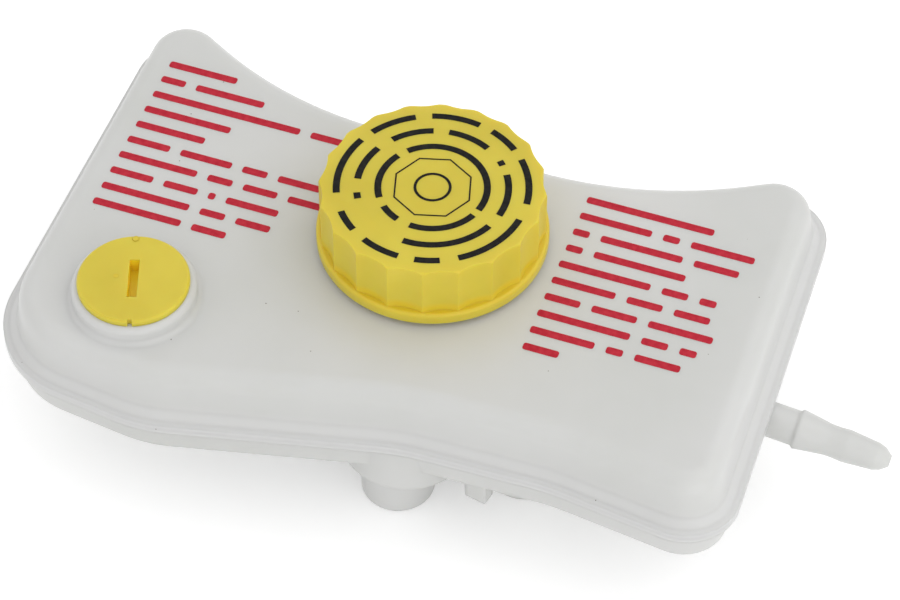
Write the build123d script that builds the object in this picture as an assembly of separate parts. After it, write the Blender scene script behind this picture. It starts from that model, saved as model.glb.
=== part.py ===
from build123d import *
import math
import os

# Brake fluid reservoir, all sizes in mm.
# Origin on the axis of the first port spigot, halfway along it. Z up, X along the tank.

# Heights from the spigot tips upwards
SPIGOT_LENGTH = 14.4
BOSS_HEIGHT = 6.3
TRAY_DEPTH = 10.7
DOME_HEIGHT = 14.5
FLANGE_THICKNESS = 1.5

# Corners of the weld flange seen from above, and how far each is rounded
LEFT_X = -101.4
BACK_LEFT_Y = 104.5
BACK_LEFT_BEND_X = -54.7
BACK_LEFT_BEND_Y = 78.7
BACK_RIGHT_BEND_X = 36.6
BACK_RIGHT_BEND_Y = 78.0
BACK_RIGHT_X = 83.0
BACK_RIGHT_Y = 103.8
FRONT_RIGHT_X = 86.6
FRONT_RIGHT_Y = -16.6
FRONT_STRAIGHT_X = 41.7
FRONT_STRAIGHT_Y = -11.2
FRONT_WAIST_X = 5.3
FRONT_WAIST_Y = -12.4
FRONT_BULGE_X = -56.0
FRONT_BULGE_Y = -26.7
FRONT_LEFT_Y = -21.2
CORNER_RADIUS = 13.6
BACK_BEND_RADIUS = 95.0
FRONT_BEND_RADIUS = 60.0
FRONT_BULGE_RADIUS = 36.5
FRONT_LEFT_RADIUS = 24.9

# Walls of the two mouldings
WALL = 2.2
DOME_INSET = 3.3
DOME_DRAFT = 9.0
DOME_TOP_ROUND = 5.0
DOME_ROOT_BEVEL = 1.8
TRAY_INSET = 2.1
TRAY_DRAFT = 4.0
TRAY_BOTTOM_BEVEL = 0.8
INNER_BEVEL = 2.0

# Ports that press into the master cylinder
SPIGOT_RADIUS = 9.1
SPIGOT_WALL = 2.4
SPIGOT_END_BEVEL = 1.6
FIRST_BOSS_X = 0.8
FIRST_BOSS_Y = 4.5
FIRST_BOSS_STEP = 7.4
BOSS_BEVEL = 0.6
SECOND_PORT_X = 28.2
SECOND_PORT_Y = 13.7
SECOND_BOSS_STEP = 9.1

# Partition between the two circuits
PARTITION_X = 13.7
PARTITION_THICKNESS = 1.6
PARTITION_HEIGHT = 7.6

# Lug under the tray
LUG_X = 22.4
LUG_Y = -4.2
LUG_WIDTH = 5.8
LUG_THICKNESS = 4.0
LUG_LENGTH = 9.1
LUG_TURN = -12.0
LUG_BEVEL = 0.3

# Hose nipple on the right wall
NIPPLE_Y = 31.4
NIPPLE_DROP = 6.0
NIPPLE_TILT = 6.5
NIPPLE_RADIUS = 4.4
NIPPLE_WALL = 2.1
NIPPLE_STRAIGHT = 9.0
NIPPLE_BARB_STEP = 0.6
NIPPLE_BARB_LENGTH = 7.8
NIPPLE_NECK_STEP = 1.1
NIPPLE_NECK_LENGTH = 2.0
NIPPLE_SWELL_STEP = 0.2
NIPPLE_SWELL_RISE = 2.4
NIPPLE_TAPER_LENGTH = 7.6
NIPPLE_TIP_STEP = 0.65
NIPPLE_SHOULDER_SHARE = 0.83
NIPPLE_TIP_SHARE = 0.4
NIPPLE_TIP_LENGTH = 3.6
NIPPLE_CLOSED_LENGTH = 2.0

# Filler neck
NECK_X = -5.8
NECK_Y = 41.7
NECK_RADIUS = 21.4
NECK_WALL = 2.4
NECK_HEIGHT = 14.0
NECK_ROOT_BEVEL = 1.0
LEDGE_WIDTH = 2.2
THREAD_DEPTH = 1.2
THREAD_HEIGHT = 2.4
THREAD_LOW = 6.4
THREAD_PITCH = 4.0

# Filler cap
FLUTE_COUNT = 20
FLUTE_START = 14.7
FLUTE_RADIUS = 13.5
CAP_FLANGE_LIP = 0.8
CAP_FLANGE_HEIGHT = 3.0
CAP_GAP_BELOW = 1.6
CAP_ROOF = 2.4
CAP_WALL = 4.2
CAP_TOP_BEVEL = 1.1
CAP_FLANGE_BEVEL = 0.6
CAP_THREAD_GAP = 0.9
SEAL_GAP = 0.3

# Rubber seal and bellows in the cap
SEAL_THICKNESS = 2.0
SEAL_INSET = 0.4
BELLOWS_GAP = 5.4
BELLOWS_FOLD = 2.4
BELLOWS_DEPTH = 9.0
BELLOWS_SKIN = 1.0

# Strainer cup
STRAINER_RIM = 1.4
STRAINER_SKIN = 1.2
STRAINER_GAP = 0.3
STRAINER_ABOVE_PARTITION = 2.4
STRAINER_WINDOWS = 10
WINDOW_SHARE = 0.6
WINDOW_EDGE = 2.2
FLOOR_HOLES = 6
FLOOR_HOLE_RADIUS = 2.6
FLOOR_HOLE_CIRCLE = 9.0

# Blanking plug and its collar
PLUG_X = -67.3
PLUG_Y = 0.3
COLLAR_RADIUS = 15.2
COLLAR_HEIGHT = 4.8
COLLAR_BEVEL = 1.0
COLLAR_ROOT_BEVEL = 1.2
COLLAR_WALL = 3.4
PLUG_HEAD_INSET = 1.55
PLUG_HEAD = 1.7
PLUG_HEAD_BEVEL = 0.5
PLUG_GAP = 0.25
PLUG_BODY_LENGTH = 8.4
PLUG_SKIN = 1.1
SLOT_LENGTH = 11.7
SLOT_WIDTH = 2.4
SLOT_DEPTH = 4.2
SLOT_ANGLE = -71.0
NOTCH_WIDTH = 1.1
NOTCH_DEPTH = 0.9
RING_SECTION = 1.2
RING_DEPTH = 3.4
RING_GAP = 0.05

# Radii that follow from the sizes above
SPIGOT_BORE_RADIUS = SPIGOT_RADIUS - SPIGOT_WALL
FIRST_BOSS_RADIUS = SPIGOT_RADIUS + FIRST_BOSS_STEP
SECOND_BOSS_RADIUS = SPIGOT_RADIUS + SECOND_BOSS_STEP
NIPPLE_BORE_RADIUS = NIPPLE_RADIUS - NIPPLE_WALL
NIPPLE_BARB_RADIUS = NIPPLE_RADIUS + NIPPLE_BARB_STEP
NIPPLE_NECK_RADIUS = NIPPLE_BARB_RADIUS - NIPPLE_NECK_STEP
NIPPLE_SWELL_RADIUS = NIPPLE_NECK_RADIUS + NIPPLE_SWELL_STEP
NIPPLE_TIP_RADIUS = NIPPLE_SWELL_RADIUS - NIPPLE_TIP_STEP
NECK_BORE_RADIUS = NECK_RADIUS - NECK_WALL
CAP_BORE_RADIUS = NECK_RADIUS + THREAD_DEPTH + CAP_THREAD_GAP
RIDGE_RADIUS = CAP_BORE_RADIUS + CAP_WALL
CAP_FLANGE_RADIUS = RIDGE_RADIUS + CAP_FLANGE_LIP
SEAL_RADIUS = NECK_RADIUS - SEAL_INSET
BELLOWS_RADIUS = NECK_BORE_RADIUS - BELLOWS_GAP
COLLAR_BORE_RADIUS = COLLAR_RADIUS - COLLAR_WALL
PLUG_RADIUS = COLLAR_RADIUS - PLUG_HEAD_INSET
RING_RADIUS = COLLAR_BORE_RADIUS - RING_GAP - RING_SECTION
GROOVE_RADIUS = RING_RADIUS - RING_SECTION - RING_GAP
PLUG_HOLLOW_RADIUS = GROOVE_RADIUS - PLUG_SKIN

# How near two heights or radii are when they count as one
MATCH = 0.01

# Derived heights
TIP_Z = -SPIGOT_LENGTH / 2
BOSS_BOTTOM_Z = TIP_Z + SPIGOT_LENGTH
BOTTOM_Z = BOSS_BOTTOM_Z + BOSS_HEIGHT
SEAM_Z = BOTTOM_Z + TRAY_DEPTH
TOP_Z = SEAM_Z + DOME_HEIGHT
FLOOR_Z = BOTTOM_Z + WALL
RIM_Z = TOP_Z + NECK_HEIGHT
COLLAR_Z = TOP_Z + COLLAR_HEIGHT
CAP_BASE_Z = TOP_Z + CAP_GAP_BELOW
SEAL_TOP_Z = RIM_Z + SEAL_THICKNESS
CAP_CEILING_Z = SEAL_TOP_Z + SEAL_GAP
CAP_TOP_Z = CAP_CEILING_Z + CAP_ROOF
PARTITION_TOP_Z = FLOOR_Z + PARTITION_HEIGHT


def outline(inset):
    """The flange outline, drawn in by inset."""
    corners = [
        (LEFT_X, BACK_LEFT_Y, CORNER_RADIUS),
        (BACK_LEFT_BEND_X, BACK_LEFT_BEND_Y, BACK_BEND_RADIUS),
        (BACK_RIGHT_BEND_X, BACK_RIGHT_BEND_Y, BACK_BEND_RADIUS),
        (BACK_RIGHT_X, BACK_RIGHT_Y, CORNER_RADIUS),
        (FRONT_RIGHT_X, FRONT_RIGHT_Y, CORNER_RADIUS),
        (FRONT_STRAIGHT_X, FRONT_STRAIGHT_Y, FRONT_BEND_RADIUS),
        (FRONT_WAIST_X, FRONT_WAIST_Y, FRONT_BEND_RADIUS),
        (FRONT_BULGE_X, FRONT_BULGE_Y, FRONT_BULGE_RADIUS),
        (LEFT_X, FRONT_LEFT_Y, FRONT_LEFT_RADIUS),
    ]
    points = [(x, y) for x, y, r in corners]
    radii = [r for x, y, r in corners]
    face = make_face(FilletPolyline(*points, radius=radii, close=True))
    if inset == 0:
        return face
    return offset(face, -inset)


def drum(x, y, bottom, top, radius):
    """An upright cylinder between two heights."""
    return Pos(x, y, bottom) * Cylinder(radius, top - bottom, align=(Align.CENTER, Align.CENTER, Align.MIN))


def ring_edges(shape, z, radius):
    """Circular edges of one radius at one height."""
    circles = shape.edges().filter_by(GeomType.CIRCLE)
    return [e for e in circles if abs(e.arc_center.Z - z) < MATCH and abs(e.radius - radius) < MATCH]


def rim_edges(shape, z):
    """The outer edge loop of the flat face at one height."""
    faces = shape.faces().filter_by(Plane.XY)
    level = [f for f in faces if abs(f.center().Z - z) < MATCH]
    return max(level, key=lambda f: f.area).outer_wire().edges()


def lies_at(edge, z):
    """Whether an edge lies wholly at one height."""
    box = edge.bounding_box()
    return abs(box.min.Z - z) < MATCH and abs(box.max.Z - z) < MATCH


def tub(inset, start, height, draft):
    """A drafted block on the tank outline; a negative height hangs down."""
    return extrude(Pos(0, 0, start) * outline(inset), amount=height, taper=draft)


def upper_shell():
    """Dome, flange, filler neck and plug collar."""
    plate_top = SEAM_Z + FLANGE_THICKNESS
    dome = tub(DOME_INSET, plate_top, TOP_Z - plate_top, DOME_DRAFT)
    dome = fillet(rim_edges(dome, TOP_Z), DOME_TOP_ROUND)
    plate = extrude(Pos(0, 0, SEAM_Z) * outline(0), amount=FLANGE_THICKNESS)
    body = dome + plate
    wall_edges = [e for e in body.edges() if lies_at(e, plate_top) and e.is_interior]
    body = chamfer(wall_edges, DOME_ROOT_BEVEL)
    hollow = tub(DOME_INSET + WALL, SEAM_Z, DOME_HEIGHT - WALL, DOME_DRAFT)
    body -= chamfer(rim_edges(hollow, TOP_Z - WALL), INNER_BEVEL)

    neck = drum(NECK_X, NECK_Y, TOP_Z - WALL, RIM_Z, NECK_RADIUS)
    body += neck
    body = chamfer(ring_edges(body, TOP_Z, NECK_RADIUS), NECK_ROOT_BEVEL)
    body += neck_thread(NECK_RADIUS, THREAD_DEPTH)
    body -= drum(NECK_X, NECK_Y, TOP_Z, RIM_Z, NECK_BORE_RADIUS)
    body -= drum(NECK_X, NECK_Y, TOP_Z - WALL, TOP_Z, NECK_BORE_RADIUS - LEDGE_WIDTH)

    body += drum(PLUG_X, PLUG_Y, TOP_Z - WALL, COLLAR_Z, COLLAR_RADIUS)
    body = chamfer(ring_edges(body, TOP_Z, COLLAR_RADIUS), COLLAR_ROOT_BEVEL)
    body = chamfer(ring_edges(body, COLLAR_Z, COLLAR_RADIUS), COLLAR_BEVEL)
    body -= drum(PLUG_X, PLUG_Y, TOP_Z - WALL, COLLAR_Z, COLLAR_BORE_RADIUS)
    return body


def neck_thread(radius, depth):
    """Two plain ribs that stand for the turns of the cap thread."""
    half = THREAD_HEIGHT / 2
    ribs = None
    for turn in range(2):
        z = TOP_Z + THREAD_LOW + turn * THREAD_PITCH
        profile = make_face(Polyline(
            (radius - NECK_WALL / 2, 0, z - half),
            (radius, 0, z - half),
            (radius + depth, 0, z - half / 3),
            (radius + depth, 0, z + half / 3),
            (radius, 0, z + half),
            (radius - NECK_WALL / 2, 0, z + half),
            close=True,
        ))
        rib = Pos(NECK_X, NECK_Y, 0) * revolve(profile, Axis.Z)
        ribs = rib if ribs is None else ribs + rib
    return ribs


def nipple_place():
    """Where the nipple's axis leaves the wall, and how it leans."""
    wall_x = BACK_RIGHT_X + (FRONT_RIGHT_X - BACK_RIGHT_X) / 2 - TRAY_INSET
    return Pos(wall_x, NIPPLE_Y, SEAM_Z - NIPPLE_DROP) * Rot(0, 90 + NIPPLE_TILT, 0)


def nipple_body():
    """The barbed nipple, turned about its own axis and closed at the tip."""
    barb = NIPPLE_STRAIGHT
    neck = barb + NIPPLE_BARB_LENGTH
    rise = neck + NIPPLE_NECK_LENGTH
    swell = rise + NIPPLE_SWELL_RISE
    taper = swell + NIPPLE_TAPER_LENGTH
    end = taper + NIPPLE_TIP_LENGTH
    profile = make_face(Polyline(
        (0, 0, -WALL),
        (NIPPLE_RADIUS, 0, -WALL),
        (NIPPLE_RADIUS, 0, barb - (NIPPLE_BARB_RADIUS - NIPPLE_RADIUS)),
        (NIPPLE_BARB_RADIUS, 0, barb),
        (NIPPLE_NECK_RADIUS, 0, neck),
        (NIPPLE_NECK_RADIUS, 0, rise),
        (NIPPLE_SWELL_RADIUS, 0, swell),
        (NIPPLE_TIP_RADIUS, 0, taper),
        (NIPPLE_TIP_RADIUS * NIPPLE_SHOULDER_SHARE, 0, (taper + end) / 2),
        (NIPPLE_TIP_RADIUS * NIPPLE_TIP_SHARE, 0, end),
        (0, 0, end),
        close=True,
    ))
    return nipple_place() * revolve(profile, Axis.Z)


def nipple_bore():
    """The passage from the tank into the nipple, blind at the tip."""
    reach = (NIPPLE_STRAIGHT + NIPPLE_BARB_LENGTH + NIPPLE_NECK_LENGTH + NIPPLE_SWELL_RISE
             + NIPPLE_TAPER_LENGTH - NIPPLE_CLOSED_LENGTH)
    rod = Cylinder(NIPPLE_BORE_RADIUS, reach + WALL * 3, align=(Align.CENTER, Align.CENTER, Align.MIN))
    return nipple_place() * Pos(0, 0, -WALL * 3) * rod


def boss(x, y, radius):
    """One round boss under the tray, solid up into the flange where it stands proud of the wall."""
    block = drum(x, y, BOSS_BOTTOM_Z, SEAM_Z - FLANGE_THICKNESS / 2, radius)
    return chamfer(ring_edges(block, BOSS_BOTTOM_Z, radius), BOSS_BEVEL)


def spigot(x, y):
    """One port spigot below its boss, solid."""
    tube = drum(x, y, TIP_Z, BOSS_BOTTOM_Z + WALL, SPIGOT_RADIUS)
    return chamfer(ring_edges(tube, TIP_Z, SPIGOT_RADIUS), SPIGOT_END_BEVEL)


def well(x, y, radius):
    """The hollow of one boss, kept inside the tray's walls."""
    hollow = drum(x, y, BOSS_BOTTOM_Z + WALL, FLOOR_Z, radius - WALL)
    inside = outline(TRAY_INSET + WALL + INNER_BEVEL)
    return hollow & extrude(Pos(0, 0, BOSS_BOTTOM_Z) * inside, amount=FLOOR_Z - BOSS_BOTTOM_Z)


def spigot_bore(x, y):
    """The passage down one spigot."""
    return drum(x, y, TIP_Z, BOSS_BOTTOM_Z + WALL, SPIGOT_BORE_RADIUS)


def lower_shell():
    """Tray, flange, ports, nipple, lug and inner partition."""
    tray = tub(TRAY_INSET, SEAM_Z, -TRAY_DEPTH, TRAY_DRAFT)
    tray = chamfer(rim_edges(tray, BOTTOM_Z), TRAY_BOTTOM_BEVEL)
    plate = extrude(Pos(0, 0, SEAM_Z - FLANGE_THICKNESS) * outline(0), amount=FLANGE_THICKNESS)
    body = tray + plate
    bosses = boss(FIRST_BOSS_X, FIRST_BOSS_Y, FIRST_BOSS_RADIUS)
    bosses += boss(SECOND_PORT_X, SECOND_PORT_Y, SECOND_BOSS_RADIUS)
    body += bosses
    body += spigot(0, 0)
    body += spigot(SECOND_PORT_X, SECOND_PORT_Y)
    lug = Box(LUG_WIDTH, LUG_THICKNESS, LUG_LENGTH + WALL / 2, align=(Align.CENTER, Align.CENTER, Align.MAX))
    lug = chamfer(lug.edges().filter_by(Axis.Z) + lug.faces().sort_by(Axis.Z)[0].edges(), LUG_BEVEL)
    body += Pos(LUG_X, LUG_Y, BOTTOM_Z + WALL / 2) * Rot(0, 0, LUG_TURN) * lug
    body += nipple_body()
    hollow = tub(TRAY_INSET + WALL, SEAM_Z, FLOOR_Z - SEAM_Z, TRAY_DRAFT)
    body -= chamfer(rim_edges(hollow, FLOOR_Z), INNER_BEVEL)
    body -= well(FIRST_BOSS_X, FIRST_BOSS_Y, FIRST_BOSS_RADIUS)
    body -= well(SECOND_PORT_X, SECOND_PORT_Y, SECOND_BOSS_RADIUS)
    body -= spigot_bore(0, 0)
    body -= spigot_bore(SECOND_PORT_X, SECOND_PORT_Y)
    body -= nipple_bore()
    middle = (BACK_LEFT_BEND_Y + FRONT_WAIST_Y) / 2
    span = BACK_LEFT_BEND_Y - FRONT_WAIST_Y
    foot_z = BOSS_BOTTOM_Z + WALL / 2
    wall = Pos(PARTITION_X, middle, foot_z) * Box(
        PARTITION_THICKNESS, span, PARTITION_TOP_Z - foot_z, align=(Align.CENTER, Align.CENTER, Align.MIN))
    body += wall & (tub(TRAY_INSET + WALL / 2, SEAM_Z, -TRAY_DEPTH, TRAY_DRAFT) + bosses)
    return body


def fluted_section():
    """The cap's section: arcs pressed in between equal ridges."""
    step = 360 / FLUTE_COUNT
    chord = RIDGE_RADIUS * math.sin(math.radians(step / 2))
    sag = FLUTE_RADIUS - math.sqrt(FLUTE_RADIUS ** 2 - chord ** 2)
    valley = RIDGE_RADIUS * math.cos(math.radians(step / 2)) - sag
    arcs = []
    for k in range(FLUTE_COUNT):
        start = math.radians(FLUTE_START + k * step)
        middle = math.radians(FLUTE_START + (k + 0.5) * step)
        stop = math.radians(FLUTE_START + (k + 1) * step)
        arcs.append(ThreePointArc(
            (RIDGE_RADIUS * math.cos(start), RIDGE_RADIUS * math.sin(start)),
            (valley * math.cos(middle), valley * math.sin(middle)),
            (RIDGE_RADIUS * math.cos(stop), RIDGE_RADIUS * math.sin(stop)),
        ))
    return make_face(arcs)


def filler_cap():
    """Fluted cap with a plain base flange."""
    cap = Pos(NECK_X, NECK_Y, CAP_BASE_Z) * extrude(fluted_section(), amount=CAP_TOP_Z - CAP_BASE_Z)
    envelope = drum(NECK_X, NECK_Y, CAP_BASE_Z, CAP_TOP_Z, RIDGE_RADIUS)
    cap &= chamfer(ring_edges(envelope, CAP_TOP_Z, RIDGE_RADIUS), CAP_TOP_BEVEL)
    flange_top = CAP_BASE_Z + CAP_FLANGE_HEIGHT
    flange = drum(NECK_X, NECK_Y, CAP_BASE_Z, flange_top, CAP_FLANGE_RADIUS)
    flange = chamfer(ring_edges(flange, flange_top, CAP_FLANGE_RADIUS), CAP_FLANGE_BEVEL)
    cap += flange
    return cap - drum(NECK_X, NECK_Y, CAP_BASE_Z, CAP_CEILING_Z, CAP_BORE_RADIUS)


def cap_diaphragm():
    """Rubber seal with a folded bellows hanging into the neck."""
    inner = BELLOWS_RADIUS - BELLOWS_SKIN
    fold_z = RIM_Z - BELLOWS_DEPTH / 3
    low = RIM_Z - BELLOWS_DEPTH
    profile = make_face(Polyline(
        (SEAL_RADIUS, 0, RIM_Z),
        (SEAL_RADIUS, 0, SEAL_TOP_Z),
        (inner, 0, SEAL_TOP_Z),
        (inner - BELLOWS_FOLD, 0, fold_z),
        (inner, 0, low + BELLOWS_SKIN),
        (0, 0, low + BELLOWS_SKIN),
        (0, 0, low),
        (BELLOWS_RADIUS, 0, low),
        (BELLOWS_RADIUS - BELLOWS_FOLD, 0, fold_z),
        (BELLOWS_RADIUS, 0, RIM_Z),
        close=True,
    ))
    return Pos(NECK_X, NECK_Y, 0) * revolve(profile, Axis.Z)


def inlet_strainer():
    """Cup with windows that rests on the ledge in the neck."""
    rim_radius = NECK_BORE_RADIUS - STRAINER_GAP
    cup_radius = rim_radius - LEDGE_WIDTH
    floor = PARTITION_TOP_Z + STRAINER_ABOVE_PARTITION
    cup = drum(NECK_X, NECK_Y, floor, TOP_Z, cup_radius)
    cup += drum(NECK_X, NECK_Y, TOP_Z, TOP_Z + STRAINER_RIM, rim_radius)
    cup -= drum(NECK_X, NECK_Y, floor + STRAINER_SKIN, TOP_Z + STRAINER_RIM, cup_radius - STRAINER_SKIN)
    window_top = TOP_Z - WALL
    window_low = floor + WINDOW_EDGE
    width = 2 * math.pi * cup_radius / STRAINER_WINDOWS * WINDOW_SHARE
    for k in range(STRAINER_WINDOWS):
        turn = Pos(NECK_X, NECK_Y, (window_top + window_low) / 2) * Rot(0, 0, 360 / STRAINER_WINDOWS * k)
        cup -= turn * Pos(cup_radius, 0, 0) * Box(STRAINER_SKIN * 4, width, window_top - window_low)
    for k in range(FLOOR_HOLES):
        turn = Pos(NECK_X, NECK_Y, 0) * Rot(0, 0, 360 / FLOOR_HOLES * k)
        cup -= turn * drum(FLOOR_HOLE_CIRCLE, 0, floor, floor + STRAINER_SKIN, FLOOR_HOLE_RADIUS)
    return cup


def blanking_plug():
    """Round plug with a coin slot, a rim notch and a groove for its ring."""
    body_radius = COLLAR_BORE_RADIUS - PLUG_GAP
    head_top = COLLAR_Z + PLUG_HEAD
    head = drum(PLUG_X, PLUG_Y, COLLAR_Z, head_top, PLUG_RADIUS)
    head = chamfer(ring_edges(head, head_top, PLUG_RADIUS), PLUG_HEAD_BEVEL)
    low = COLLAR_Z - PLUG_BODY_LENGTH
    plug = head + drum(PLUG_X, PLUG_Y, low, COLLAR_Z, body_radius)
    groove_z = COLLAR_Z - RING_DEPTH
    half = RING_SECTION + RING_GAP
    groove = drum(PLUG_X, PLUG_Y, groove_z - half, groove_z + half, COLLAR_BORE_RADIUS)
    groove -= drum(PLUG_X, PLUG_Y, groove_z - half, groove_z + half, GROOVE_RADIUS)
    plug -= groove
    plug -= drum(PLUG_X, PLUG_Y, low, head_top - SLOT_DEPTH - PLUG_HEAD, PLUG_HOLLOW_RADIUS)
    slot = Pos(PLUG_X, PLUG_Y, head_top - SLOT_DEPTH) * Rot(0, 0, SLOT_ANGLE) * Box(
        SLOT_LENGTH, SLOT_WIDTH, SLOT_DEPTH, align=(Align.CENTER, Align.CENTER, Align.MIN))
    plug -= slot
    notch = Pos(PLUG_X, PLUG_Y, COLLAR_Z) * Rot(0, 0, SLOT_ANGLE) * Pos(PLUG_RADIUS - NOTCH_DEPTH, 0, 0) * Box(
        NOTCH_DEPTH * 2, NOTCH_WIDTH, PLUG_HEAD, align=(Align.MIN, Align.CENTER, Align.MIN))
    plug -= notch
    return plug


def plug_o_ring():
    """Rubber ring in the plug's groove, drawn as squeezed to the bore."""
    section = Plane.XZ * Pos(RING_RADIUS, 0, 0) * RegularPolygon(RING_SECTION, 8, major_radius=False, rotation=22.5)
    return Pos(PLUG_X, PLUG_Y, COLLAR_Z - RING_DEPTH) * revolve(section, Axis.Z)


NODES = {
    "upper_shell": upper_shell,
    "lower_shell": lower_shell,
    "filler_cap": filler_cap,
    "cap_diaphragm": cap_diaphragm,
    "inlet_strainer": inlet_strainer,
    "blanking_plug": blanking_plug,
    "plug_o_ring": plug_o_ring,
}

os.makedirs("parts", exist_ok=True)
for name, make in NODES.items():
    shape = make()
    box = shape.bounding_box()
    print(name, len(shape.solids()), round(shape.volume), box.min, box.max)
    export_step(shape, "parts/" + name + ".step")
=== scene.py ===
import math
import bpy
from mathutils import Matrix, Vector


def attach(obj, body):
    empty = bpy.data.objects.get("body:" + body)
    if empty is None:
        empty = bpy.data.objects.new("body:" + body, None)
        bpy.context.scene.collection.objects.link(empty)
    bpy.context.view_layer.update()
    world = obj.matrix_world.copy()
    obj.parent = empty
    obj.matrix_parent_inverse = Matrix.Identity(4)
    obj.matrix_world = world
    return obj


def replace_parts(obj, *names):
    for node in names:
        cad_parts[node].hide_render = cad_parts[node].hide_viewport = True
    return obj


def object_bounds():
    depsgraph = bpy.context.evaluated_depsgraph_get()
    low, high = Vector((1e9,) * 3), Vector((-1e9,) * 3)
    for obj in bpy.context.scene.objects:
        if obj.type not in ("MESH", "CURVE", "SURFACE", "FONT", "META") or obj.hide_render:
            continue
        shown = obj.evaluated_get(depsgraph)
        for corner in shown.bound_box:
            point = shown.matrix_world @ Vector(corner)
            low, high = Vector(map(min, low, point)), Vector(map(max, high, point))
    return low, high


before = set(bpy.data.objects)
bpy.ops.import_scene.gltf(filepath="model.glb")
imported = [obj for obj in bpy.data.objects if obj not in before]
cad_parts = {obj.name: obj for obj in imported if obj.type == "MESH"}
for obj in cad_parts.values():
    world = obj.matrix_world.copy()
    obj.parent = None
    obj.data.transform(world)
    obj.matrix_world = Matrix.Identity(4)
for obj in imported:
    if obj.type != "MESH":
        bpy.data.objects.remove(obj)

cad_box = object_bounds()
MM = 0.001

# Tank, cap and plug: places and sizes in metres, as in the part's source
TOP_Z = 38.7 * MM
SEAM_Z = 24.2 * MM
NECK = Vector((-5.8 * MM, 41.7 * MM, 0.0))
CAP_BASE_Z = 40.3 * MM
CAP_FLANGE_TOP_Z = 43.3 * MM
CAP_CEILING_Z = 55.0 * MM
CAP_TOP_Z = 57.4 * MM
RIDGE_RADIUS = 27.7 * MM
CAP_FLANGE_RADIUS = 28.5 * MM
CAP_BORE_RADIUS = 23.5 * MM
FLUTE_RADIUS = 13.5 * MM
FLUTE_DEPTH = 1.08 * MM
FLUTE_COUNT = 20
FLUTE_START = 14.7
PLUG = Vector((-67.3 * MM, 0.3 * MM, 0.0))
PLUG_TOP_Z = 45.2 * MM

# Rounded edges and smoothness of the cap
CAP_TOP_ROUND = 0.9 * MM
CAP_FLANGE_ROUND = 0.95 * MM
CAP_EDGE_ROUND = 0.2 * MM
CAP_SIDES = 240
FLUTE_SIDES = 180
BORE_SIDES = 200
TOOL_REACH = 2.0 * MM
SMOOTH_ANGLE = 35

# Edges that only the shader rounds, and how far off the weld that begins and is full
TANK_ROUNDING = 1.8 * MM
YELLOW_ROUNDING = 0.18 * MM
WELD_KEPT = 0.5 * MM
WELD_LEFT = 1.2 * MM

# Ink stands this much above its surface and reaches this much below it
INK = 0.05 * MM
INK_ROOT = 0.02 * MM

# Red print on the tank: rows of bars, each bar a word long
ROW_PITCH = 5.46 * MM
LETTER_PITCH = 2.38 * MM
BAR_HEIGHT = 2.1 * MM
BAR_ROUND_SHARE = 0.3
LETTER_GAP_SHARE = 0.25
LEFT_BLOCK = (-89.0 * MM, 74.3 * MM)
RIGHT_BLOCK = (25.9 * MM, 66.2 * MM)

# Length of each bar in a row, counted in letters
LEFT_ROWS = [
    [8], [3, 8], [17, 4], [10], [8],
    [5, 6, 3, 5], [9, 3, 4, 4], [5, 4, 1, 6], [10, 3, 4], [10, 4],
]
RIGHT_ROWS = [
    [14], [8, 2, 7], [2, 9, 5], [2, 10], [10, 3, 2],
    [7, 4, 4], [4, 5, 7], [10, 3, 2], [7, 2, 5], [4],
]

# Black print on the cap: rings of arcs, each a radius and pairs of degrees
ARC_HEIGHT = 1.7 * MM
ARC_STEP = 2
ARC_STEPS_MIN = 6
CAP_RINGS = [
    (23.2 * MM, [
        (204, 158), (149, 120), (110, 80), (71, 51), (42, 6),
        (-7, -55), (-66, -81), (-91, -115), (-125, -141)]),
    (18.3 * MM, [
        (211, 205), (191, 156), (142, 109), (97, 63), (47, 42), (32, -10), (-23, -93)]),
    (13.2 * MM, [(-110, -133), (214, 149), (137, -14), (-23, -95)]),
]
OCTAGON_RADIUS = 9.8 * MM
OCTAGON_LINE = 0.38 * MM
OCTAGON_TURN = 38.5
RING_RADIUS = 4.25 * MM
RING_LINE = 0.7 * MM
RING_SIDES = 48

# Moulded pip at the plug's back rim
PIP_RADIUS = 0.8 * MM
PIP_ROOT = 0.6 * MM
PIP_HEIGHT = 0.14 * MM
PIP_RIM = 0.22 * MM
PIP_RECESS = 0.1 * MM
PIP_OFFSET = 12.4 * MM
PIP_ANGLE = 110

# Gate scar near the plug's middle
SCAR_RADIUS = 0.7 * MM
SCAR_ROOT = 0.3 * MM
SCAR_HEIGHT = 0.06 * MM
SCAR_RIM = 0.18 * MM
SCAR_RECESS = 0.05 * MM
SCAR_OFFSET = 4.25 * MM
SCAR_ANGLE = 189
MARK_SIDES = 32

# Studio and the photograph's camera
FLOOR_SIZE = 6.0
FLOOR_GAP = 0.5 * MM
FLOOR_LIFT = 0.3
ROOM_LIGHT = 0.88
LAMP_TARGET = (0, 0.03, 0.02)
CAMERA_AZIMUTH = math.radians(19.618)
CAMERA_ELEVATION = math.radians(50.375)
CAMERA_DISTANCE = 0.8223
CAMERA_TARGET = Vector((0.00479, 0.02447, 0.0387))
CAMERA_LENS = 136.416


# Material parts

def new_material(name):
    """A node material with an empty Principled shader at its end."""
    material = bpy.data.materials.new(name)
    material.use_nodes = True
    shader = material.node_tree.nodes["Principled BSDF"]
    return material, material.node_tree, shader


def feed(tree, socket, value):
    """Links another node's output to a socket, or sets it to a plain value."""
    if isinstance(value, bpy.types.NodeSocket):
        tree.links.new(value, socket)
    else:
        socket.default_value = value


def object_place(tree):
    """Object coordinates, which stay with the piece when it moves."""
    return tree.nodes.new("ShaderNodeTexCoord").outputs["Object"]


def object_axes(tree):
    """Object coordinates as separate X, Y and Z."""
    axes = tree.nodes.new("ShaderNodeSeparateXYZ")
    tree.links.new(object_place(tree), axes.inputs[0])
    return axes.outputs


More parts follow.
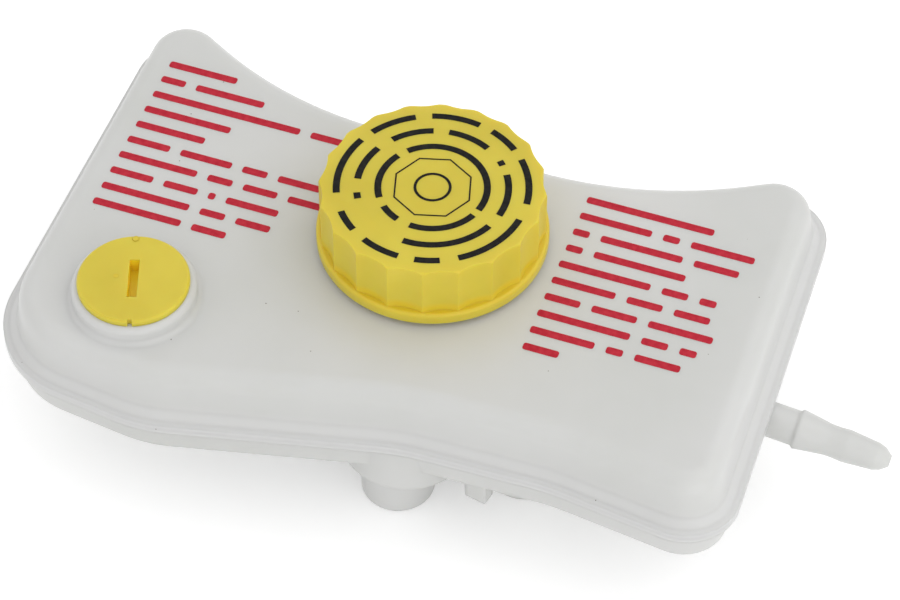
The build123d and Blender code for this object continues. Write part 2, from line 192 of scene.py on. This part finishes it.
def math_node(tree, operation, first, second=None):
    """One sum on a value, with a number or another value."""
    node = tree.nodes.new("ShaderNodeMath")
    node.operation = operation
    feed(tree, node.inputs[0], first)
    if second is not None:
        feed(tree, node.inputs[1], second)
    return node.outputs[0]


def mixed(tree, kind, factor, first, second):
    """One colour or vector going over to another by a factor."""
    mix = tree.nodes.new("ShaderNodeMix")
    mix.data_type = kind
    in_use = [socket for socket in mix.inputs if socket.enabled]
    for socket, value in zip(in_use, (factor, first, second)):
        feed(tree, socket, value)
    return next(socket for socket in mix.outputs if socket.enabled)


def off_height(tree, height):
    """How far a point lies above or below one height."""
    above = math_node(tree, "SUBTRACT", object_axes(tree)["Z"], height)
    return math_node(tree, "ABSOLUTE", above)


def noise(tree, scale, detail):
    """A noise texture on Object coordinates."""
    node = tree.nodes.new("ShaderNodeTexNoise")
    node.inputs["Scale"].default_value = scale
    node.inputs["Detail"].default_value = detail
    tree.links.new(object_place(tree), node.inputs["Vector"])
    return node.outputs["Fac"]


def ramp(tree, fac, stops):
    """A colour ramp over a factor, its stops given as (place, colour)."""
    node = tree.nodes.new("ShaderNodeValToRGB")
    for element, (place, colour) in zip(node.color_ramp.elements, stops):
        element.position = place
        element.color = (*colour, 1.0)
    tree.links.new(fac, node.inputs["Fac"])
    return node.outputs["Color"]


def rounded(tree, radius):
    """A normal that rounds a node's edges, save along the weld where the shells meet flush."""
    edge = tree.nodes.new("ShaderNodeBevel")
    edge.samples = 8
    edge.inputs["Radius"].default_value = radius
    away = tree.nodes.new("ShaderNodeMapRange")
    away.inputs["From Min"].default_value = WELD_KEPT
    away.inputs["From Max"].default_value = WELD_LEFT
    tree.links.new(off_height(tree, SEAM_Z), away.inputs["Value"])
    flat = tree.nodes.new("ShaderNodeNewGeometry").outputs["Normal"]
    return mixed(tree, "VECTOR", away.outputs["Result"], flat, edge.outputs["Normal"])


def bump(tree, shader, height, strength, rounding):
    """A fine bump from a height into the shader's normal, over edges that look rounded."""
    node = tree.nodes.new("ShaderNodeBump")
    tree.links.new(rounded(tree, rounding), node.inputs["Normal"])
    node.inputs["Strength"].default_value = strength
    node.inputs["Distance"].default_value = 0.2 * MM
    tree.links.new(height, node.inputs["Height"])
    tree.links.new(node.outputs["Normal"], shader.inputs["Normal"])


def banded(tree, colour, height, reach, tint):
    """A colour that goes over to a tint within reach of one height."""
    near = tree.nodes.new("ShaderNodeMapRange")
    near.interpolation_type = "SMOOTHSTEP"
    near.inputs["From Min"].default_value = reach
    near.inputs["From Max"].default_value = 0.1 * reach
    tree.links.new(off_height(tree, height), near.inputs["Value"])
    return mixed(tree, "RGBA", near.outputs["Result"], colour, (*tint, 1.0))


def speckled(tree, colour, scale, size, dark):
    """Sparse tiny dark specks of dust in the moulding."""
    cells = tree.nodes.new("ShaderNodeTexVoronoi")
    cells.inputs["Scale"].default_value = scale
    tree.links.new(object_place(tree), cells.inputs["Vector"])
    speck = math_node(tree, "LESS_THAN", cells.outputs["Distance"], size * scale)
    return mixed(tree, "RGBA", speck, colour, (*dark, 1.0))


def painted_slot_glow(tree, colour):
    """Painted glow: clear orange painted down in the plug's slot, where light comes round through
    the thin walls.
    """
    axes = object_axes(tree)
    deep = math_node(tree, "LESS_THAN", axes["Z"], PLUG_TOP_Z - 0.4 * MM)
    aside = math_node(tree, "POWER", math_node(tree, "SUBTRACT", axes["X"], PLUG.x), 2.0)
    along = math_node(tree, "POWER", math_node(tree, "SUBTRACT", axes["Y"], PLUG.y), 2.0)
    near = math_node(tree, "LESS_THAN", math_node(tree, "ADD", aside, along), (7.0 * MM) ** 2)
    in_slot = math_node(tree, "MULTIPLY", deep, near)
    return mixed(tree, "RGBA", in_slot, colour, (1.0, 0.76, 0.035, 1.0))


# Materials

def milky_plastic():
    """The tank's translucent white moulding."""
    material, tree, shader = new_material("milky_plastic")
    cloud = noise(tree, 22.0, 3.0)
    colour = ramp(tree, cloud, [(0.3, (0.61, 0.615, 0.595)), (0.7, (0.66, 0.66, 0.65))])
    # Painted light: the welded flange has no fluid behind it and lets more light through, so a
    # lighter band is painted along it
    colour = banded(tree, colour, SEAM_Z + 1.2 * MM, 5.0 * MM, (0.675, 0.675, 0.665))
    colour = speckled(tree, colour, 160.0, 0.16 * MM, (0.16, 0.14, 0.11))
    tree.links.new(colour, shader.inputs["Base Color"])
    shader.inputs["Roughness"].default_value = 0.34
    shader.inputs["Subsurface Weight"].default_value = 0.35
    shader.inputs["Subsurface Radius"].default_value = (1.0, 1.0, 0.9)
    shader.inputs["Subsurface Scale"].default_value = 4.0 * MM
    bump(tree, shader, noise(tree, 900.0, 2.0), 0.08, TANK_ROUNDING)
    return material


def yellow_plastic(name, slotted=False, depth=0.45):
    """The cap's and plug's satin yellow, light going into it by a share called depth."""
    material, tree, shader = new_material(name)
    cloud = noise(tree, 60.0, 3.0)
    colour = ramp(tree, cloud, [(0.3, (0.64, 0.51, 0.035)), (0.7, (0.70, 0.57, 0.048))])
    if slotted:
        # Painted glow of clear orange down in the plug's slot
        colour = painted_slot_glow(tree, colour)
    else:
        # Painted glow: light caught in the corner at the foot of the flutes turns warmer, and that
        # warmer colour is painted in
        foot_z = CAP_FLANGE_TOP_Z + 0.9 * MM
        colour = banded(tree, colour, foot_z, 2.1 * MM, (0.72, 0.53, 0.02))
    tree.links.new(colour, shader.inputs["Base Color"])
    shader.inputs["Roughness"].default_value = 0.42
    shader.inputs["Subsurface Weight"].default_value = depth
    shader.inputs["Subsurface Radius"].default_value = (1.0, 0.6, 0.12)
    shader.inputs["Subsurface Scale"].default_value = 4.0 * MM
    bump(tree, shader, noise(tree, 1500.0, 2.0), 0.06, YELLOW_ROUNDING)
    return material


def black_rubber():
    """Matt rubber of the seal and the ring."""
    material, tree, shader = new_material("black_rubber")
    grain = noise(tree, 300.0, 4.0)
    colour = ramp(tree, grain, [(0.3, (0.018, 0.018, 0.018)), (0.7, (0.035, 0.035, 0.034))])
    tree.links.new(colour, shader.inputs["Base Color"])
    shader.inputs["Roughness"].default_value = 0.7
    return material


def red_ink():
    """Slightly uneven red print."""
    material, tree, shader = new_material("red_ink")
    cover = noise(tree, 700.0, 3.0)
    colour = ramp(tree, cover, [(0.3, (0.44, 0.014, 0.032)), (0.7, (0.54, 0.03, 0.05))])
    tree.links.new(colour, shader.inputs["Base Color"])
    shader.inputs["Roughness"].default_value = 0.6
    shader.inputs["Specular IOR Level"].default_value = 0.15
    return material


def black_ink():
    """Worn black print."""
    material, tree, shader = new_material("black_ink")
    cover = noise(tree, 900.0, 4.0)
    colour = ramp(tree, cover, [(0.35, (0.008, 0.008, 0.008)), (0.75, (0.022, 0.021, 0.018))])
    tree.links.new(colour, shader.inputs["Base Color"])
    shader.inputs["Roughness"].default_value = 0.65
    shader.inputs["Specular IOR Level"].default_value = 0.12
    return material


def dress(node, material):
    """Puts one material on a CAD node."""
    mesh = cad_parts[node].data
    mesh.materials.clear()
    mesh.materials.append(material)


# Modelling steps

def start():
    """Leaves nothing selected, so that an operator acts on the new piece alone."""
    if bpy.context.object and bpy.context.object.mode != "OBJECT":
        bpy.ops.object.mode_set(mode="OBJECT")
    bpy.ops.object.select_all(action="DESELECT")


def around(centre, radius, angle, z):
    """A point on a circle, its angle in degrees."""
    turn = math.radians(angle)
    return Vector((centre.x + radius * math.cos(turn), centre.y + radius * math.sin(turn), z))


def cylinder(radius, bottom, top, centre, sides):
    """An upright cylinder primitive between two heights."""
    start()
    bpy.ops.mesh.primitive_cylinder_add(
        vertices=sides, radius=radius, depth=top - bottom,
        location=(centre.x, centre.y, (bottom + top) / 2))
    return bpy.context.object


def pick_top(piece):
    """Goes into edit mode with just the faces selected that look up."""
    bpy.context.view_layer.objects.active = piece
    bpy.ops.object.mode_set(mode="EDIT")
    bpy.ops.mesh.select_mode(type="FACE")
    bpy.ops.mesh.select_all(action="DESELECT")
    bpy.ops.object.mode_set(mode="OBJECT")
    for face in piece.data.polygons:
        face.select = face.normal.z > 0.9
    bpy.ops.object.mode_set(mode="EDIT")


def round_top(width, segments):
    """Rounds the picked top face's edge and leaves the smaller face picked."""
    bpy.ops.mesh.bevel(offset=width, segments=segments, affect="EDGES")


def sink_top(rim, recess):
    """Sinks the picked top face inside a rim."""
    bpy.ops.mesh.inset(thickness=rim)
    bpy.ops.mesh.extrude_region_move(TRANSFORM_OT_translate={"value": (0, 0, -recess)})


def apply_all(piece):
    """Applies a piece's modifiers in order."""
    start()
    bpy.context.view_layer.objects.active = piece
    piece.select_set(True)
    for name in [m.name for m in piece.modifiers]:
        bpy.ops.object.modifier_apply(modifier=name)


def cut(piece, tool, operation="DIFFERENCE"):
    """Cuts a piece with a tool, or joins the tool to it, and throws the tool away."""
    step = piece.modifiers.new("cut", "BOOLEAN")
    step.operation = operation
    step.solver = "EXACT"
    step.object = tool
    apply_all(piece)
    bpy.data.objects.remove(tool, do_unlink=True)


def soften(piece, width, angle):
    """Rounds a piece's edges that turn more than an angle in degrees."""
    step = piece.modifiers.new("soften", "BEVEL")
    step.width = width
    step.segments = 3
    step.limit_method = "ANGLE"
    step.angle_limit = math.radians(angle)
    step.use_clamp_overlap = True
    apply_all(piece)


def join(pieces):
    """Joins pieces into the first."""
    start()
    for piece in pieces:
        piece.select_set(True)
    bpy.context.view_layer.objects.active = pieces[0]
    bpy.ops.object.join()
    return pieces[0]


def finish_piece(piece, name, body, material):
    """Settles a piece's place into its mesh, shades it, and rides it on its body."""
    start()
    bpy.context.view_layer.objects.active = piece
    piece.select_set(True)
    bpy.ops.object.transform_apply(location=True, rotation=True, scale=True)
    bpy.ops.object.shade_smooth_by_angle(angle=math.radians(SMOOTH_ANGLE))
    piece.name = name
    piece.data.materials.clear()
    piece.data.materials.append(material)
    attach(piece, body)
    return piece


# Filler cap

def make_cap(material):
    """Fluted filler cap with a rounded base flange, hollow below."""
    # The fluted part starts inside the flange, which is joined on after the flutes
    cap = cylinder(RIDGE_RADIUS, CAP_BASE_Z + 1.0 * MM, CAP_TOP_Z, NECK, CAP_SIDES)
    pick_top(cap)
    round_top(CAP_TOP_ROUND, 6)
    bpy.ops.object.mode_set(mode="OBJECT")

    reach = RIDGE_RADIUS - FLUTE_DEPTH + FLUTE_RADIUS
    flute_foot_z = CAP_FLANGE_TOP_Z - 0.4 * MM
    for k in range(FLUTE_COUNT):
        place = around(NECK, reach, FLUTE_START + 360 / FLUTE_COUNT * (k + 0.5), 0)
        cut(cap, cylinder(FLUTE_RADIUS, flute_foot_z, CAP_TOP_Z + TOOL_REACH, place, FLUTE_SIDES))

    flange = cylinder(CAP_FLANGE_RADIUS, CAP_BASE_Z, CAP_FLANGE_TOP_Z, NECK, CAP_SIDES)
    pick_top(flange)
    round_top(CAP_FLANGE_ROUND, 6)
    bpy.ops.object.mode_set(mode="OBJECT")
    cut(cap, flange, "UNION")
    cut(cap, cylinder(CAP_BORE_RADIUS, CAP_BASE_Z - TOOL_REACH, CAP_CEILING_Z, NECK, BORE_SIDES))
    soften(cap, CAP_EDGE_ROUND, 22)
    finish_piece(cap, "fluted_cap", "cap", material)
    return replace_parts(cap, "filler_cap")


# Print

def thicken_ink():
    """Raises the open piece's flat outline to the height of ink."""
    bpy.ops.mesh.select_all(action="SELECT")
    bpy.ops.mesh.extrude_region_move(TRANSFORM_OT_translate={"value": (0, 0, INK + INK_ROOT)})
    bpy.ops.mesh.select_all(action="SELECT")
    bpy.ops.mesh.normals_make_consistent(inside=False)
    bpy.ops.object.mode_set(mode="OBJECT")


def bar(left, middle_y, length, height, z):
    """One printed bar with round corners, its ink standing up from a height."""
    start()
    bpy.ops.mesh.primitive_plane_add(size=1.0, location=(left + length / 2, middle_y, z - INK_ROOT))
    piece = bpy.context.object
    piece.scale = (length, height, 1.0)
    bpy.ops.object.transform_apply(location=True, rotation=True, scale=True)
    bpy.ops.object.mode_set(mode="EDIT")
    bpy.ops.mesh.select_all(action="SELECT")
    bpy.ops.mesh.bevel(offset=height * BAR_ROUND_SHARE, segments=4, affect="VERTICES")
    thicken_ink()
    return piece


def print_block(name, corner, rows, material):
    """Rows of plain red bars on the tank's top, where the real one carries its print."""
    bars = []
    for row, words in enumerate(rows):
        left = corner[0]
        for count in words:
            length = (count - LETTER_GAP_SHARE) * LETTER_PITCH
            bars.append(bar(left, corner[1] - row * ROW_PITCH, length, BAR_HEIGHT, TOP_Z))
            left += (count + 1) * LETTER_PITCH
    return finish_piece(join(bars), name, "tank", material)


def arc_bar(centre, radius, first, last, z):
    """One printed arc along a radius, between two angles in degrees: a line, spun."""
    start()
    middle = around(centre, radius, first, z - INK_ROOT)
    bpy.ops.mesh.primitive_plane_add(size=1.0, location=middle)
    piece = bpy.context.object
    bpy.ops.object.mode_set(mode="EDIT")
    bpy.ops.mesh.select_mode(type="VERT")
    bpy.ops.mesh.select_all(action="DESELECT")
    bpy.ops.object.mode_set(mode="OBJECT")
    for corner in piece.data.vertices:
        corner.select = corner.co.y > 0
    bpy.ops.object.mode_set(mode="EDIT")
    bpy.ops.mesh.delete(type="VERT")
    bpy.ops.object.mode_set(mode="OBJECT")
    for corner in piece.data.vertices:
        side = radius + math.copysign(ARC_HEIGHT / 2, corner.co.x)
        corner.co = around(centre, side, first, z - INK_ROOT) - middle
    bpy.ops.object.mode_set(mode="EDIT")
    bpy.ops.mesh.select_all(action="SELECT")
    bpy.ops.mesh.spin(
        steps=max(ARC_STEPS_MIN, round(abs(last - first) / ARC_STEP)),
        angle=math.radians(first - last), center=(centre.x, centre.y, z), axis=(0, 0, 1))
    bpy.ops.mesh.select_all(action="SELECT")
    bpy.ops.mesh.remove_doubles(threshold=0.001 * MM)
    thicken_ink()
    return piece


def line_ring(centre, radius, width, sides, turn, z):
    """A thin printed outline: a filled polygon, inset, with its middle taken out."""
    start()
    bpy.ops.mesh.primitive_circle_add(
        vertices=sides, radius=radius + width / 2, fill_type="NGON",
        location=(centre.x, centre.y, z - INK_ROOT), rotation=(0, 0, math.radians(turn)))
    piece = bpy.context.object
    bpy.ops.object.mode_set(mode="EDIT")
    bpy.ops.mesh.select_all(action="SELECT")
    bpy.ops.mesh.inset(thickness=width)
    bpy.ops.mesh.delete(type="ONLY_FACE")
    thicken_ink()
    return piece


def print_cap(material):
    """Rings of plain black arcs round an octagon and a ring on the cap's top."""
    marks = []
    for radius, arcs in CAP_RINGS:
        for first, last in arcs:
            marks.append(arc_bar(NECK, radius, first, last, CAP_TOP_Z))
    marks.append(line_ring(NECK, OCTAGON_RADIUS, OCTAGON_LINE, 8, OCTAGON_TURN, CAP_TOP_Z))
    marks.append(line_ring(NECK, RING_RADIUS, RING_LINE, RING_SIDES, 0, CAP_TOP_Z))
    return finish_piece(join(marks), "cap_print", "cap", material)


# Marks moulded on the plug

def plug_marks(material):
    """The moulded pip at the plug's back rim and the gate scar near its middle."""
    pip = cylinder(
        PIP_RADIUS, PLUG_TOP_Z - PIP_ROOT, PLUG_TOP_Z + PIP_HEIGHT,
        around(PLUG, PIP_OFFSET, PIP_ANGLE, 0), MARK_SIDES)
    pick_top(pip)
    round_top(PIP_HEIGHT, 3)
    sink_top(PIP_RIM, PIP_RECESS)
    bpy.ops.transform.resize(value=(0.8, 0.8, 1.0))
    bpy.ops.object.mode_set(mode="OBJECT")

    scar = cylinder(
        SCAR_RADIUS, PLUG_TOP_Z - SCAR_ROOT, PLUG_TOP_Z + SCAR_HEIGHT,
        around(PLUG, SCAR_OFFSET, SCAR_ANGLE, 0), MARK_SIDES)
    pick_top(scar)
    sink_top(SCAR_RIM, SCAR_RECESS)
    bpy.ops.object.mode_set(mode="OBJECT")
    return finish_piece(join([pip, scar]), "plug_marks", "plug", material)


# Studio

def studio_floor():
    """A pale floor that keeps the shadow and looks white to the camera and in mirrors."""
    start()
    bpy.ops.mesh.primitive_plane_add(size=FLOOR_SIZE, location=(0, 0, cad_box[0][2] - FLOOR_GAP))
    floor = bpy.context.object
    floor.name = "floor"
    material, tree, shader = new_material("pale_floor")
    shader.inputs["Base Color"].default_value = (0.92, 0.92, 0.92, 1.0)
    shader.inputs["Roughness"].default_value = 0.9
    shader.inputs["Specular IOR Level"].default_value = 0.1
    path = tree.nodes.new("ShaderNodeLightPath").outputs
    shown = math_node(tree, "MAXIMUM", path["Is Camera Ray"], path["Is Glossy Ray"])
    shown = math_node(tree, "MAXIMUM", shown, path["Is Transmission Ray"])
    shader.inputs["Emission Color"].default_value = (1.0, 1.0, 1.0, 1.0)
    lift = math_node(tree, "MULTIPLY", shown, FLOOR_LIFT)
    tree.links.new(lift, shader.inputs["Emission Strength"])
    floor.data.materials.append(material)


def white_room():
    """Even white light from all round."""
    world = bpy.data.worlds.new("white_room")
    world.use_nodes = True
    background = world.node_tree.nodes["Background"]
    background.inputs["Color"].default_value = (1.0, 1.0, 1.0, 1.0)
    background.inputs["Strength"].default_value = ROOM_LIGHT
    bpy.context.scene.world = world


def lamp(name, place, size, power):
    """A soft square lamp that faces the part."""
    data = bpy.data.lights.new(name, "AREA")
    data.size = size
    data.energy = power
    lamp_object = bpy.data.objects.new(name, data)
    bpy.context.collection.objects.link(lamp_object)
    lamp_object.location = place
    aim = Vector(LAMP_TARGET) - Vector(place)
    lamp_object.rotation_euler = aim.to_track_quat("-Z", "Y").to_euler()


def photo_camera():
    """The camera that sees the part as the photograph does."""
    data = bpy.data.cameras.new("camera")
    data.lens = CAMERA_LENS
    data.sensor_width = 36.0
    data.clip_start = 0.01
    camera = bpy.data.objects.new("camera", data)
    bpy.context.collection.objects.link(camera)
    camera.location = CAMERA_TARGET + CAMERA_DISTANCE * Vector((
        math.sin(CAMERA_AZIMUTH) * math.cos(CAMERA_ELEVATION),
        -math.cos(CAMERA_AZIMUTH) * math.cos(CAMERA_ELEVATION),
        math.sin(CAMERA_ELEVATION)))
    camera.rotation_euler = (math.pi / 2 - CAMERA_ELEVATION, 0.0, CAMERA_AZIMUTH)
    bpy.context.scene.camera = camera


milky = milky_plastic()
cap_yellow = yellow_plastic("cap_yellow")
plug_yellow = yellow_plastic("plug_yellow", slotted=True)
rubber = black_rubber()
for node in ("upper_shell", "lower_shell", "inlet_strainer"):
    dress(node, milky)
dress("filler_cap", cap_yellow)
dress("blanking_plug", plug_yellow)
for node in ("cap_diaphragm", "plug_o_ring"):
    dress(node, rubber)

make_cap(cap_yellow)
red = red_ink()
print_block("red_print_left", LEFT_BLOCK, LEFT_ROWS, red)
print_block("red_print_right", RIGHT_BLOCK, RIGHT_ROWS, red)
print_cap(black_ink())
plug_marks(yellow_plastic("mark_yellow", depth=0.0))

studio_floor()
white_room()
lamp("key", (0.6, 0.3, 0.9), 1.1, 1.8)
lamp("fill", (0.75, -0.8, 0.35), 1.0, 2.4)
photo_camera()
bpy.context.scene.view_settings.view_transform = "Standard"
